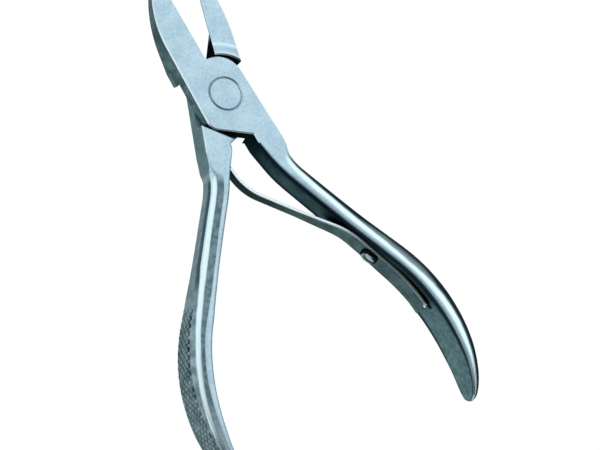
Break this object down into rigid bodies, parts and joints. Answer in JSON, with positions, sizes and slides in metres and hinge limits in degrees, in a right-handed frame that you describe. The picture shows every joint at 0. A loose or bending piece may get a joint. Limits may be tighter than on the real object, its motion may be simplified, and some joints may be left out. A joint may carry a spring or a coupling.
{
  "type": "sprue nippers",
  "caption": "Hand nippers with two half-lapped steel levers on a flush rivet, short flush-cutting jaws, curved grips and a leaf spring that opens them.",
  "frame": {"origin": "where the pivot axis meets the flat back of the joint", "axes": "+Y to the jaws along the line that halves the open tool, +Z out of the front face along the pivot axis, +X to the handle of the front lever"},
  "size_m": [0.0748, 0.1227, 0.011],
  "materials": {
    "front_lever_steel": "satin joint and jaw, polished handle with cross-cut grip",
    "rear_lever_steel": "satin joint and jaw, polished handle with cross-cut grip",
    "rivet_steel": "satin, flush",
    "spring_steel": "dull spring steel",
    "screw_steel": "polished"
  },
  "bodies": {
    "front": {"front_lever": "front_lever_steel", "pivot_rivet": "rivet_steel", "spring_screw": "screw_steel"},
    "rear": {"rear_lever": "rear_lever_steel"},
    "spring": {"leaf_spring": "spring_steel"}
  },
  "joints": [
    {"name": "lever_pivot", "type": "hinge", "parent": "front", "child": "rear", "pos_m": [0, 0, 0], "axis": [0, 0, 1], "range_deg": [0, 16.5], "stiffness_Nm_per_rad": 1.5, "springref_deg": -8.59, "deforming": ["leaf_spring"]},
    {"name": "spring_flex", "type": "hinge", "parent": "front", "child": "spring", "pos_m": [0.016, -0.0402, 0.0034], "axis": [0, 0, 1], "range_deg": [-14.6, 0]}
  ],
  "couplings": [
    {"joint": "spring_flex", "follows": "lever_pivot", "ratio": -0.88}
  ]
}
